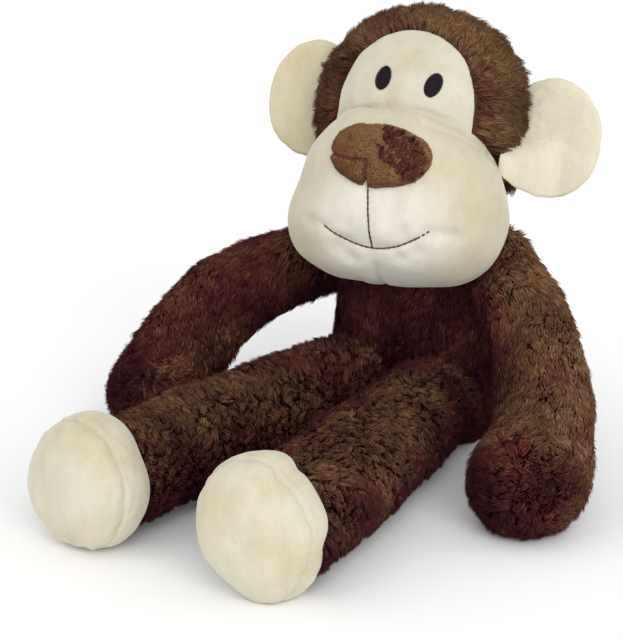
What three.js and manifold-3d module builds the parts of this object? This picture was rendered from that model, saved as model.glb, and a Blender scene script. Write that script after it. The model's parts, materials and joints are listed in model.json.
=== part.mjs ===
// A long-limbed stuffed monkey that sits with its legs out in front of it, in millimetres.
// Z is up, the torso faces -Y, +X is the monkey's left, and the origin is the middle of its seat.
import * as THREE from 'three';
import { mergeVertices } from 'three/addons/utils/BufferGeometryUtils.js';
import Module from 'manifold-3d';

const wasm = await Module();
wasm.setup();

// ---- driving dimensions ----
const GAP = 0.3; // clearance between pieces that are sewn or packed together
const LIMB_GAP = 3; // clearance round the ball end at an elbow, a knee or the neck
const SHOULDER_GAP = 5; // clearance round the ball end of an upper arm
const HIP_GAP = 9; // clearance round the ball end of a thigh, which also lets its tube lift
const FUR = 6; // long-pile cloth: backing and settled pile
const PLUSH = 2.5; // short-pile cream cloth
const FINEST = 0.002; // edges shorter than this are merged away
const ROUND = 16; // facets round a limb
const BALL = 18; // facets round the head, the torso or a foot
const SIDES = [['left', 1], ['right', -1]];

const TORSO = { halfWidth: 52, height: 136, flatten: 0.87 };
const HEAD = { centre: [0, -4, 209], turn: 13, lean: 6, skull: [59, 55, 60] };
const NECK = { radius: 24, pivot: [0, 2, 152] };
const MUZZLE = { centre: [0, -46, -38], radii: [66, 50, 60], pear: 0.14, throat: [[-48, -96], [-12, -52]] };
const EAR = { radii: [31, 6.5, 37], centre: [77, 14, -6], base: 67 };
const NOSE = { halfWidth: 31, halfHeight: 19, z: -8, rise: 9 };
const EYE = { x: 16, z: 31, halfWidth: 4.6, halfHeight: 7, rise: 1.6 };
const MOUTH = { halfWidth: 33, dip: 66, corner: 52, thread: 0.8 };
const FACE = { halfWidth: 42, top: 54 };
const SHOULDER = { x: 52, y: 2, z: 118, radius: 21 };
const ARM = { elbowRadius: 24, handRadius: 29 };
const HIP = { x: 27, y: -34, z: 27, radius: 26 };
const LEG = { kneeRadius: 27, kneeAt: 0.46, ankleRadius: 28, ankleZ: 31 };
const FOOT = { radii: [37, 26, 39], trim: 0.35, seam: 0.05 };
const REST = {
  left: { elbow: [108, -52, 80], hand: [137, -128, 29], foot: [61, -281] },
  right: { elbow: [-124, -46, 86], hand: [-146, -104, 29], foot: [-62, -274] },
};

const COLOURS = {
  brown_fur: [0x4a2d1f, 0.95],
  head_fur: [0x6b4c38, 0.95],
  cream_plush: [0xe6e0cd, 0.9],
  nose_plush: [0x764f38, 0.9],
  eye_thread: [0x1c0f1c, 0.6],
  mouth_thread: [0x5a3e2a, 0.7],
  filling: [0xf2f2f0, 1],
};

// ---- solids ----
const root = new THREE.Group();
const at = (v) => new THREE.Vector3(...v);

function solid(geometry) {
  const bare = geometry.clone();
  bare.deleteAttribute('normal');
  bare.deleteAttribute('uv');
  const merged = mergeVertices(bare, 1e-3);
  const triVerts = new Uint32Array(merged.index.array);
  const vertProperties = new Float32Array(merged.attributes.position.array);
  const made = new wasm.Manifold(new wasm.Mesh({ numProp: 3, vertProperties, triVerts }));
  if (made.volume() > 0) return made;
  triVerts.reverse();
  return new wasm.Manifold(new wasm.Mesh({ numProp: 3, vertProperties, triVerts }));
}

function add(name, finish, body, group = root) {
  const mesh = body.simplify(FINEST).getMesh();
  const geometry = new THREE.BufferGeometry();
  geometry.setAttribute('position', new THREE.BufferAttribute(mesh.vertProperties.slice(), 3));
  geometry.setIndex(new THREE.BufferAttribute(mesh.triVerts.slice(), 1));
  geometry.computeVertexNormals();
  const [color, roughness] = COLOURS[finish];
  const piece = new THREE.Mesh(
    geometry,
    new THREE.MeshStandardMaterial({ color, roughness, metalness: 0 }),
  );
  piece.name = name;
  group.add(piece);
}

// An egg with its poles up and down; pear widens it towards the bottom.
function eggGeometry(radii, centre, round, pear = 0) {
  const egg = new THREE.SphereGeometry(1, round, Math.round(round * 0.6)).rotateX(Math.PI / 2);
  const place = egg.attributes.position;
  for (let i = 0; i < place.count; i += 1) {
    place.setX(i, place.getX(i) * (1 - pear * place.getZ(i)));
  }
  return egg.scale(...radii).translate(...centre);
}
const egg = (radii, centre, round = BALL, pear = 0) => solid(eggGeometry(radii, centre, round, pear));
const grown = (radii, by) => radii.map((r) => r + by);

// Everything on the side of a plane that its normal points to.
function beyond(point, normal) {
  const size = 600;
  const way = at(normal).normalize();
  const block = new THREE.BoxGeometry(size, size, size).translate(0, 0, size / 2);
  block.applyQuaternion(new THREE.Quaternion().setFromUnitVectors(at([0, 0, 1]), way));
  return solid(block.translate(...point));
}
const aboveFloor = beyond([0, 0, 0], [0, 0, 1]);

// A turned shape whose axis runs from one point towards another.
function turned(profile, from, to) {
  const geometry = new THREE.LatheGeometry(profile.map(([r, l]) => new THREE.Vector2(r, l)), ROUND);
  const way = to.clone().sub(from).normalize();
  geometry.applyQuaternion(new THREE.Quaternion().setFromUnitVectors(at([0, 1, 0]), way));
  return solid(geometry.translate(...from.toArray()));
}

// A quarter circle of profile points from the axis end to the rim.
function quarter(radius, centre, sign, steps = 3) {
  const points = [];
  for (let i = 0; i <= steps; i += 1) {
    const turn = (Math.PI / 2) * (i / steps);
    points.push([i === 0 ? 0 : radius * Math.sin(turn), centre + sign * radius * Math.cos(turn)]);
  }
  return points;
}

// One stretch of limb: a ball of filling at its start, and a sleeve of cloth round it.
// closed rounds the far end, otherwise it ends square.
function limb(from, to, startRadius, endRadius, closed) {
  const length = to.distanceTo(from);
  const inner = [startRadius - FUR, endRadius - FUR];
  const end = closed ? quarter(endRadius, length, 1) : [[endRadius, length]];
  const innerEnd = closed ? quarter(inner[1], length, 1) : [[inner[1], length]];
  const sleeve = [...end, [startRadius, 0], [inner[0], 0], ...innerEnd.slice().reverse()];
  if (!closed) sleeve.push(end[0]);
  const plug = inner[1] - GAP;
  const fillEnd = closed ? quarter(plug, length, 1) : [[0, length], [plug, length]];
  const fill = [...fillEnd, ...quarter(inner[0] - GAP, 0, -1).reverse()];
  return { skin: turned(sleeve, from, to), fill: turned(fill, from, to) };
}

const ball = (pivot, radius) => egg([radius, radius, radius], pivot.toArray(), ROUND);

// ---- torso: front and back panels round one filling ----
// Half-width and height of the torso's side, as shares of its own.
const torsoSide = [
  [0.66, 0], [0.86, 0.05], [0.98, 0.2], [1, 0.38], [0.95, 0.6], [0.86, 0.8], [0.7, 0.94], [0.54, 1],
];
const torsoLine = (inset, base) => torsoSide.map(([r, z]) => [
  r * TORSO.halfWidth - inset, base + z * (TORSO.height - base),
]);
function torsoTurned(profile) {
  const geometry = new THREE.LatheGeometry(profile.map(([r, l]) => new THREE.Vector2(r, l)), BALL);
  return solid(geometry.rotateX(Math.PI / 2).scale(1, TORSO.flatten, 1));
}
const torsoSkin = torsoTurned([[0, 0], ...torsoLine(0, 0), ...torsoLine(FUR, FUR).reverse(), [0, FUR]]);
const torsoFill = torsoTurned([
  [0, FUR + GAP], ...torsoLine(FUR + GAP, FUR + GAP), [0, TORSO.height],
]);

const hip = (side) => at([side * HIP.x, HIP.y, HIP.z]);
const shoulder = (side) => at([side * SHOULDER.x, SHOULDER.y, SHOULDER.z]);
const sockets = SIDES
  .flatMap(([, side]) => [
    ball(hip(side), HIP.radius + HIP_GAP), ball(shoulder(side), SHOULDER.radius + SHOULDER_GAP),
  ])
  .reduce((all, next) => all.add(next));
const torsoShell = torsoSkin.subtract(sockets);
add('torso_front_panel', 'brown_fur', torsoShell.intersect(beyond([0, -GAP / 2, 0], [0, -1, 0])));
add('torso_back_panel', 'brown_fur', torsoShell.intersect(beyond([0, GAP / 2, 0], [0, 1, 0])));
add('torso_filling', 'filling', torsoFill.subtract(sockets));

// ---- neck: a stub with a ball on top, sewn to the torso below ----
const neckPivot = at(NECK.pivot);
const neckBase = at([NECK.pivot[0], NECK.pivot[1], TORSO.height + GAP]);
const neckRise = neckPivot.z - neckBase.z;
add('neck_stub', 'brown_fur', turned(
  [[0, 0], [NECK.radius, 0], ...quarter(NECK.radius, neckRise, 1).reverse()], neckBase, neckPivot,
));

// ---- head, drawn about its own middle and then turned and leant ----
const degrees = Math.PI / 180;
const head = new THREE.Group();
head.position.set(...HEAD.centre);
head.rotation.set(0, HEAD.lean * degrees, HEAD.turn * degrees, 'ZYX');
root.add(head);
root.updateMatrixWorld(true);
const headPivot = head.worldToLocal(neckPivot.clone());
const neckRoom = (by) => ball(headPivot, NECK.radius + LIMB_GAP + by);

// A flat outline in X and Z, run forwards from the middle of the head.
function throughFace(outline) {
  const shape = new THREE.Shape(outline.map(([x, z]) => new THREE.Vector2(x, z)));
  const depth = 200;
  const prism = new THREE.ExtrudeGeometry(shape, { depth, bevelEnabled: false, steps: 1 });
  return solid(prism.rotateX(Math.PI / 2));
}
function arch(halfWidth, top, bottom, steps = 12) {
  const outline = [[-halfWidth, bottom], [halfWidth, bottom]];
  for (let i = 0; i <= steps; i += 1) {
    const turn = Math.PI * (i / steps);
    outline.push([halfWidth * Math.cos(turn), top * Math.sin(turn) ** 0.75]);
  }
  return outline;
}
const skull = (by) => egg(grown(HEAD.skull, by), [0, 0, 0]);
const muzzle = (by) => egg(grown(MUZZLE.radii, by), MUZZLE.centre, BALL, MUZZLE.pear);

const hoodShell = skull(FUR).subtract(skull(GAP))
  .subtract(throughFace(arch(FACE.halfWidth, FACE.top, MUZZLE.centre[2])))
  .subtract(muzzle(GAP))
  .subtract(neckRoom(0));
for (const [name, side] of SIDES) {
  const half = beyond([side * GAP / 2, 0, 0], [side, 0, 0]);
  add(`head_${name}_panel`, 'head_fur', hoodShell.intersect(half), head);
}
const facePatch = skull(PLUSH).subtract(skull(GAP))
  .intersect(throughFace(arch(FACE.halfWidth - GAP, FACE.top - GAP, MUZZLE.centre[2])))
  .subtract(muzzle(GAP));
add('face_patch', 'cream_plush', facePatch, head);
add('head_filling', 'filling', skull(0).subtract(neckRoom(0)), head);

// The chin stands clear of the chest, so the muzzle's underside runs flat from chin to neck.
function throat(by) {
  const [[y0, z0], [y1, z1]] = MUZZLE.throat;
  const slope = at([0, z1 - z0, y0 - y1]).normalize();
  const start = at([0, y0, z0]).addScaledVector(slope, -by);
  return beyond(start.toArray(), slope.toArray());
}
const muzzleSolid = (by) => muzzle(-by).subtract(throat(by)).subtract(neckRoom(by));
const muzzleShell = muzzleSolid(0).subtract(muzzleSolid(PLUSH)).subtract(skull(GAP));
for (const [name, side] of SIDES) {
  const half = beyond([side * GAP / 2, 0, 0], [side, 0, 0]);
  add(`muzzle_${name}_panel`, 'cream_plush', muzzleShell.intersect(half), head);
}
add('muzzle_filling', 'filling', muzzleSolid(PLUSH + 3 * GAP).subtract(skull(GAP)), head);

// Depth of the muzzle's surface at a place seen from the front.
function muzzleFront(x, z, by = 0) {
  const [rx, ry, rz] = grown(MUZZLE.radii, by);
  const up = (z - MUZZLE.centre[2]) / rz;
  const across = x / (rx * (1 - MUZZLE.pear * up));
  return MUZZLE.centre[1] - ry * Math.sqrt(Math.max(0, 1 - across ** 2 - up ** 2));
}

// ---- nose: a padded oval on the top of the muzzle ----
const noseMiddle = [0, muzzleFront(0, NOSE.z), NOSE.z];
const nosePad = egg([NOSE.halfWidth, NOSE.rise * 1.6, NOSE.halfHeight], noseMiddle)
  .subtract(muzzle(GAP));
add('nose_pad', 'nose_plush', nosePad, head);

// ---- embroidered eyes ----
for (const [name, side] of SIDES) {
  const oval = [];
  for (let i = 0; i < 12; i += 1) {
    const turn = 2 * Math.PI * (i / 12);
    oval.push([side * EYE.x + EYE.halfWidth * Math.cos(turn), EYE.z + EYE.halfHeight * Math.sin(turn)]);
  }
  const pad = skull(PLUSH + EYE.rise).subtract(skull(PLUSH + GAP)).intersect(throughFace(oval));
  add(`${name}_eye`, 'eye_thread', pad, head);
}

// ---- mouth: a smile and the upright stitch that joins it to the nose ----
function stitched(places) {
  const lift = MOUTH.thread + GAP + 0.4;
  const points = places.map(([x, z]) => at([x, muzzleFront(x, z, lift), z]));
  const extrudePath = new THREE.CatmullRomCurve3(points);
  const section = new THREE.Shape();
  section.absarc(0, 0, MOUTH.thread, 0, 2 * Math.PI);
  const along = { steps: 14, curveSegments: 6, extrudePath, bevelEnabled: false };
  return solid(new THREE.ExtrudeGeometry(section, along));
}
const smile = [-1, -0.7, -0.35, 0, 0.35, 0.7, 1].map((s) => [
  s * MOUTH.halfWidth, -MOUTH.dip + (MOUTH.dip - MOUTH.corner) * Math.abs(s) ** 1.9,
]);
const smileThread = stitched(smile);
add('mouth_smile_stitch', 'mouth_thread', smileThread, head);
const uprightTop = NOSE.z - NOSE.halfHeight - 2;
const uprightFoot = -MOUTH.dip + 2 * MOUTH.thread + 1;
add('mouth_upright_stitch', 'mouth_thread', stitched([
  [0, uprightTop], [0, (uprightTop + uprightFoot) / 2], [0, uprightFoot],
]), head);

// ---- ears: a front and a back panel, each with its share of light filling ----
for (const [name, side] of SIDES) {
  const [x, seam, z] = EAR.centre;
  const lobe = egg(EAR.radii, [side * x, seam, z]).intersect(beyond([side * EAR.base, 0, 0], [side, 0, 0]));
  const front = lobe.intersect(beyond([0, seam - GAP / 2, 0], [0, -1, 0]));
  const back = lobe.intersect(beyond([0, seam + GAP / 2, 0], [0, 1, 0]));
  add(`${name}_ear_front`, 'cream_plush', front, head);
  add(`${name}_ear_back`, 'cream_plush', back, head);
}

// ---- arms and legs ----
for (const [name, side] of SIDES) {
  const rest = REST[name];
  const elbow = at(rest.elbow);
  const upper = limb(shoulder(side), elbow, SHOULDER.radius, ARM.elbowRadius, false);
  const elbowSocket = ball(elbow, ARM.elbowRadius + LIMB_GAP);
  add(`${name}_upper_arm_sleeve`, 'brown_fur', upper.skin.subtract(elbowSocket));
  add(`${name}_upper_arm_filling`, 'filling', upper.fill.subtract(elbowSocket));
  const fore = limb(elbow, at(rest.hand), ARM.elbowRadius, ARM.handRadius, true);
  add(`${name}_forearm_sleeve`, 'brown_fur', fore.skin.intersect(aboveFloor));
  add(`${name}_forearm_filling`, 'filling', fore.fill);

  const foot = at([...rest.foot, FOOT.radii[2]]);
  const knee = hip(side).lerp(at([...rest.foot, HIP.z]), LEG.kneeAt);
  const thigh = limb(hip(side), knee, HIP.radius, LEG.kneeRadius, false);
  const kneeSocket = ball(knee, LEG.kneeRadius + LIMB_GAP);
  add(`${name}_thigh_sleeve`, 'brown_fur', thigh.skin.intersect(aboveFloor).subtract(kneeSocket));
  add(`${name}_thigh_filling`, 'filling', thigh.fill.subtract(kneeSocket));

  const heading = at([...rest.foot, 0]).sub(at([knee.x, knee.y, 0])).normalize();
  const back = -FOOT.trim * FOOT.radii[1];
  const ankle = foot.clone().addScaledVector(heading, back - GAP);
  ankle.z = LEG.ankleZ;
  const shin = limb(knee, ankle, LEG.kneeRadius, LEG.ankleRadius, false);
  add(`${name}_shin_sleeve`, 'brown_fur', shin.skin.intersect(aboveFloor));
  add(`${name}_shin_filling`, 'filling', shin.fill);

  const spin = new THREE.Matrix4().makeRotationZ(Math.atan2(heading.x, -heading.y));
  const cap = (by) => solid(
    eggGeometry(grown(FOOT.radii, by), [0, 0, 0], BALL).applyMatrix4(spin).translate(...foot.toArray()),
  );
  const behind = foot.clone().addScaledVector(heading, back + ankleTilt(ankle, knee)).toArray();
  const ahead = heading.toArray();
  const seam = foot.clone().addScaledVector(heading, -FOOT.seam * FOOT.radii[1]);
  const shell = cap(0).subtract(cap(-PLUSH)).intersect(beyond(behind, ahead));
  add(`${name}_foot_sole`, 'cream_plush', shell.intersect(
    beyond(seam.clone().addScaledVector(heading, GAP / 2).toArray(), ahead),
  ));
  add(`${name}_foot_band`, 'cream_plush', shell.subtract(
    beyond(seam.clone().addScaledVector(heading, -GAP / 2).toArray(), ahead),
  ));
  add(`${name}_foot_filling`, 'filling', cap(-PLUSH - GAP).intersect(beyond(behind, ahead)));
}

// The shin rises a little to its foot, so its square end leans into the foot by this much.
function ankleTilt(ankle, knee) {
  const rise = (ankle.z - knee.z) / ankle.distanceTo(knee);
  return LEG.ankleRadius * rise + GAP;
}

export default root;
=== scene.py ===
"""The looks of a long-limbed stuffed monkey: fur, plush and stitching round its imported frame.

Lengths are in millimetres until a mesh is made. The head's pieces are drawn about its own middle,
where -Y is ahead and +Z is up, and then turned and leant as the frame's head is.
"""
import json
import math

import bpy
import numpy as np
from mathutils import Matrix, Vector
from mathutils.bvhtree import BVHTree
from mathutils.kdtree import KDTree


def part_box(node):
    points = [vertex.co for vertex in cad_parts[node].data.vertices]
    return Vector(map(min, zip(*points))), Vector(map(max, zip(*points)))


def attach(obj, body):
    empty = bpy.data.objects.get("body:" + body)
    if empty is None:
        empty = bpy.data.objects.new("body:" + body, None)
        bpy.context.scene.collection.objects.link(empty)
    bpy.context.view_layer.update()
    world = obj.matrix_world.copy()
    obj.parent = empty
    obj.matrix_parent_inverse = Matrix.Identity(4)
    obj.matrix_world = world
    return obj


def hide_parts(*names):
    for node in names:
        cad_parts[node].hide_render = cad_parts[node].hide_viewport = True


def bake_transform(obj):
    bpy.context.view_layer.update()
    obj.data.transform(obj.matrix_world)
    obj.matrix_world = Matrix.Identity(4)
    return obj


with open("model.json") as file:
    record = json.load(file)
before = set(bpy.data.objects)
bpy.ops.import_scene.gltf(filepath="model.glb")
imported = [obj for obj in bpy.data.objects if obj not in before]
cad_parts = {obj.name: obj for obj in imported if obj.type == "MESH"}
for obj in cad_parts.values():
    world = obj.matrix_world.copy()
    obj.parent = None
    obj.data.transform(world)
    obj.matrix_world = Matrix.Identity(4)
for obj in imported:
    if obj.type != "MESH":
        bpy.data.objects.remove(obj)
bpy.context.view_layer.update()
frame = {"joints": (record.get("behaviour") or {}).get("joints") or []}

# ---- places read from the frame, and the driving sizes it was drawn with ----
MM = 0.001
SIDES = (("left", 1), ("right", -1))
JOINTS = {joint["name"]: joint for joint in frame["joints"]}


def place_of(joint):
    return np.array(JOINTS[joint]["pos_m"]) / MM


def box_of(node):
    low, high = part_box(node)
    return np.array(low) / MM, np.array(high) / MM


NECK = place_of("head_nod")
NOD_AXIS = JOINTS["head_nod"]["axis"]
HEAD_CENTRE = np.array([0.0, -4.0, 209.0])
HEAD_TURN = math.atan2(NOD_AXIS[1], NOD_AXIS[0])
HEAD_LEAN = math.radians(6)
SKULL = np.array([59.0, 55.0, 60.0])
MUZZLE = {"centre": np.array([4.0, -46.0, -41.0]), "radii": np.array([64.5, 50.0, 57.0]), "pear": 0.2,
          "shoulder": 2.3, "jowl": 2.6, "square": 2.25}
THROAT = {"chin": np.array([0.0, -48.0, -96.0]), "neck": np.array([0.0, -12.0, -52.0])}
EAR = {"centre": np.array([77.0, 14.0, -6.0]), "radii": np.array([31.0, 6.5, 37.0]), "base": 67.0}
NOSE = {"half_width": 31.0, "half_height": 17.0, "x": -1.5, "z": -10.5, "rise": 8.0}
EYE = {"middle": 2.0, "x": 15.5, "z": 28.8, "half_width": 4.8, "half_height": 6.6}
MOUTH = {"half_width": 32.0, "dip": 66.0, "corners": (57.0, 52.5), "power": 1.9}
FACE = {"half_width": 42.0, "top": 55.0}
TORSO = {"half_width": 52.0, "height": 136.0, "flatten": 0.87, "plump": 4.0}
TORSO_WIDTHS = np.array([0.66, 0.86, 0.98, 1, 0.95, 0.86, 0.7, 0.54])
TORSO_HEIGHTS = np.array([0, 0.05, 0.2, 0.38, 0.6, 0.8, 0.94, 1])
ARM = {"shoulder": 21.0, "elbow": 24.0, "hand": 29.0}
LEG = {"hip": 26.0, "knee": 27.0, "ankle": 28.0, "knee_at": 0.46}
FOOT = {"radii": np.array([37.0, 26.0, 39.0]), "trim": 0.35}
PILE_ROOM = 6.0  # how far the frame's outer surface stands off the backing cloth
FLOOR = 0.3  # the lowest any pile reaches


# ---- small mathematics ----
def unit(vectors):
    return vectors / np.maximum(np.linalg.norm(vectors, axis=-1, keepdims=True), 1e-9)


def circle(count):
    """Evenly spaced angles all the way round."""
    return np.linspace(0, 2 * math.pi, count, endpoint=False)


def dome_shares(count):
    """Shares of a pad's reach from near its middle to its edge, closer together at the edge."""
    return np.sin(np.linspace(0, math.pi / 2, count + 1)[1:])


def tangents_of(line):
    return unit(np.gradient(line, axis=0))


def turned_about(axis, angle):
    """The rotation matrix of a turn about X, Y or Z (0, 1 or 2)."""
    c, s = math.cos(angle), math.sin(angle)
    a, b = [(1, 2), (2, 0), (0, 1)][axis]
    made = np.eye(3)
    made[a, a] = made[b, b] = c
    made[a, b], made[b, a] = -s, s
    return made


HEAD_ROTATION = turned_about(2, HEAD_TURN) @ turned_about(1, HEAD_LEAN)


def from_head(points):
    return points @ HEAD_ROTATION.T + HEAD_CENTRE


def smooth_noise(points, wavelength, seed, channels):
    """Smooth values mostly from -1 to 1 at each point, one column for each channel."""
    waves = 14
    draw = np.random.default_rng(seed)
    way = unit(draw.normal(size=(channels * waves, 3))) * draw.uniform(0.6, 1.5, (channels * waves, 1))
    phase = draw.uniform(0, 2 * math.pi, channels * waves)
    value = np.sin(points @ way.T * (2 * math.pi / wavelength) + phase)
    return value.reshape(len(points), channels, waves).sum(-1) / math.sqrt(waves)


def lumps(points, wavelength, seed):
    return smooth_noise(points, wavelength, seed, 1)[:, 0]


def sizes(vectors):
    return np.linalg.norm(vectors, axis=1)


def bell(value, width):
    """1 at zero, and next to nothing at twice the width."""
    return np.exp(-((value / width) ** 2))


def eased(value, low, high):
    """0 below low, 1 above high and smooth between."""
    share = np.clip((value - low) / (high - low), 0, 1)
    return share * share * (3 - 2 * share)


# ---- closed surfaces made of rings ----
class Skin:
    """A closed surface through rings of points, with one more point beyond each end.

    bare says which ends are only there to close the surface, so that nothing grows on them."""

    def __init__(self, rings, first, last, bare=(False, False)):
        count, around = rings.shape[:2]
        self.verts = np.vstack([first[None], rings.reshape(-1, 3), last[None]])
        ring = 1 + np.arange(count * around).reshape(count, around)
        after = np.roll(ring, -1, axis=1)
        self.quads = np.stack([ring[:-1], after[:-1], after[1:], ring[1:]], -1).reshape(-1, 4)
        start = np.stack([np.zeros_like(ring[0]), after[0], ring[0]], -1)
        end = np.stack([ring[-1], after[-1], np.full_like(ring[0], len(self.verts) - 1)], -1)
        self.tris = np.vstack([start, end])
        self.grown = ~np.repeat(bare, around)
        a, b, c = self.corners(self.triangles(slice(None)))
        if np.einsum("ij,ij->", a, np.cross(b, c)) < 0:
            self.turn_over()
        self.find_normals()

    def turn_over(self):
        self.quads = self.quads[:, ::-1]
        self.tris = self.tris[:, ::-1]

    def triangles(self, ends):
        """Each quad as two triangles, and the wanted triangles of the two ends."""
        return np.vstack([self.quads[:, [0, 1, 2]], self.quads[:, [0, 2, 3]], self.tris[ends]])

    def corners(self, triangles):
        return (self.verts[triangles[:, i]] for i in range(3))

    def find_normals(self):
        triangles = self.triangles(self.grown)
        a, b, c = self.corners(triangles)
        face = np.cross(b - a, c - a)
        total = np.zeros_like(self.verts)
        for i in range(3):
            np.add.at(total, triangles[:, i], face)
        self.normals = unit(total)

    def moved(self, amount):
        """Moves each point along its normal, in millimetres."""
        self.verts = self.verts + self.normals * amount[:, None]
        self.find_normals()


def mesh_piece(name, verts, quads, tris, materials, quad_material=None, tri_material=None):
    """A smooth mesh object, in metres, from points in millimetres."""
    mesh = bpy.data.meshes.new(name)
    mesh.vertices.add(len(verts))
    mesh.vertices.foreach_set("co", (verts * MM).astype(np.float32).ravel())
    corners = np.concatenate([quads.ravel(), tris.ravel()]).astype(np.int32)
    mesh.loops.add(len(corners))
    mesh.loops.foreach_set("vertex_index", corners)
    starts = np.concatenate([4 * np.arange(len(quads)), 4 * len(quads) + 3 * np.arange(len(tris))])
    mesh.polygons.add(len(starts))
    mesh.polygons.foreach_set("loop_start", starts.astype(np.int32))
    for material in materials:
        mesh.materials.append(material)
    if quad_material is not None:
        index = np.concatenate([quad_material, tri_material]).astype(np.int32)
        mesh.polygons.foreach_set("material_index", index)
    mesh.polygons.foreach_set("use_smooth", np.ones(len(starts), bool))
    mesh.update(calc_edges=True)
    piece = bpy.data.objects.new(name, mesh)
    bpy.context.scene.collection.objects.link(piece)
    return piece


def skin_piece(name, skin, material):
    return mesh_piece(name, skin.verts, skin.quads, skin.tris, [material])


def blended(piece, body, next_body, start, end):
    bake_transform(piece)


def declared(piece, nodes=(), body=None):
    """Hangs a piece on its body, if it has one, and hides the frame's parts that it stands for."""
    if body:
        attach(piece, body)
    if nodes:
        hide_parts(*nodes)


# ---- stuffed cloth ----
CLOTH_EVERY = 4  # the coarse copy keeps one point in this many, each way
CLOTH_FRAMES = 20
CLOTH_PRESSURE = 4.0


def between(values, at, wraps):
    """Values at places between the rows of a grid, on a smooth curve through them."""
    low = np.floor(at).astype(int)
    t = at - low
    picks = low[:, None] + np.arange(-1, 3)
    picks = picks % len(values) if wraps else np.clip(picks, 0, len(values) - 1)
    share = [2 * t**2 - t**3 - t, 3 * t**3 - 5 * t**2 + 2, 4 * t**2 - 3 * t**3 + t, t**3 - t**2]
    share = np.stack(share, -1) / 2
    return np.einsum("ij,ij...->i...", share, values[picks])


def stuffed(rings, first, last, held_of, cap, slack):
    """Rings after their cloth is stuffed.

    A coarse copy is sewn down where held_of(points) is true, cut larger by slack, and swells under
    pressure. What each of its points moves, up to cap, is carried back to the fine rings."""
    rows = np.unique(np.linspace(0, len(rings) - 1, len(rings) // CLOTH_EVERY + 1).round().astype(int))
    coarse = Skin(rings[rows][:, ::CLOTH_EVERY], first, last)
    piece = mesh_piece("cloth", coarse.verts, coarse.quads, coarse.tris, [])
    held = held_of(coarse.verts)
    held[[0, -1]] |= held_of(np.array([first, last]))
    group = piece.vertex_groups.new(name="held")
    group.add(np.flatnonzero(held).tolist(), 1.0, "REPLACE")
    cloth = piece.modifiers.new("cloth", "CLOTH")
    cloth.settings.effector_weights.gravity = 0
    cloth.settings.use_pressure = True
    cloth.settings.uniform_pressure_force = CLOTH_PRESSURE
    cloth.settings.shrink_min = -slack
    cloth.settings.vertex_group_mass = "held"
    cloth.settings.bending_stiffness = 0.1
    cloth.point_cache.frame_end = CLOTH_FRAMES
    scene = bpy.context.scene
    for step in range(1, CLOTH_FRAMES + 1):
        scene.frame_set(step)
    shape = piece.evaluated_get(bpy.context.evaluated_depsgraph_get()).data
    places = np.empty(3 * len(coarse.verts), np.float32)
    shape.vertices.foreach_get("co", places)
    moved = places.reshape(-1, 3) / MM - coarse.verts
    far = np.linalg.norm(moved, axis=1, keepdims=True)
    moved = moved * cap * np.tanh(far / cap) / np.maximum(far, 1e-6)
    bpy.data.objects.remove(piece)
    scene.frame_set(1)
    moved = moved[1:-1].reshape(len(rows), -1, 3)
    moved = between(moved, np.interp(np.arange(len(rings)), rows, np.arange(len(rows))), False)
    moved = between(moved.swapaxes(0, 1), np.arange(rings.shape[1]) / CLOTH_EVERY, True).swapaxes(0, 1)
    return rings + moved


def front_of(skin):
    """The depth of a skin's front at places (x, z), in the head's own space."""
    tree = BVHTree.FromPolygons(skin.verts.tolist(), skin.quads.tolist())

    def depth(x, z):
        starts = zip(np.ravel(x), np.ravel(z))
        hits = [tree.ray_cast(Vector((a, -200, b)), Vector((0, 1, 0)))[0] for a, b in starts]
        return np.array([hit.y for hit in hits]).reshape(np.shape(x))

    return depth


# ---- materials ----
def new_material(name, colour, roughness, **shader):
    """A Principled material. shader values are set on its own sockets."""
    material = bpy.data.materials.new(name)
    material.use_nodes = True
    nodes = material.node_tree.nodes
    principled = nodes["Principled BSDF"]
    principled.inputs["Base Color"].default_value = (*colour, 1)
    principled.inputs["Roughness"].default_value = roughness
    for socket, value in shader.items():
        name_on_shader = socket.replace("_", " ").title().replace("Ior", "IOR")
        principled.inputs[name_on_shader].default_value = value
    material.diffuse_color = (*colour, 1)
    return material, principled


def link(material, source, socket):
    material.node_tree.links.new(source, socket)


def node(material, kind, **settings):
    made = material.node_tree.nodes.new(kind)
    for name, value in settings.items():
        if hasattr(made, name):
            setattr(made, name, value)
        else:
            made.inputs[name.replace("_", " ").title()].default_value = value
    return made


def noise_of(material, size, detail=3.0, stretch=(1, 1, 1)):
    """A noise whose lumps are about size millimetres across, in the object's own space."""
    place = node(material, "ShaderNodeTexCoord")
    mapping = node(material, "ShaderNodeMapping")
    mapping.inputs["Scale"].default_value = stretch
    noise = node(material, "ShaderNodeTexNoise", scale=1 / (size * MM), detail=detail)
    link(material, place.outputs["Object"], mapping.inputs["Vector"])
    link(material, mapping.outputs["Vector"], noise.inputs["Vector"])
    return noise


def ramp_of(material, source, stops):
    """A colour ramp through stops of (place, colour) driven by a value."""
    ramp = node(material, "ShaderNodeValToRGB")
    elements = ramp.color_ramp.elements
    while len(elements) < len(stops):
        elements.new(0.5)
    for element, (place, colour) in zip(elements, stops):
        element.position = place
        element.color = (*colour, 1)
    link(material, source, ramp.inputs["Fac"])
    return ramp.outputs["Color"]


def mixed(material, share, first, second, blend="MIX"):
    """Two colours mixed by a share. Each of the three is a plain value or another node's socket."""
    made = node(material, "ShaderNodeMix", data_type="RGBA", blend_type=blend)
    for i, value in ((0, share), (6, first), (7, second)):
        if isinstance(value, bpy.types.NodeSocket):
            link(material, value, made.inputs[i])
        else:
            made.inputs[i].default_value = value
    return made.outputs[2]


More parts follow.
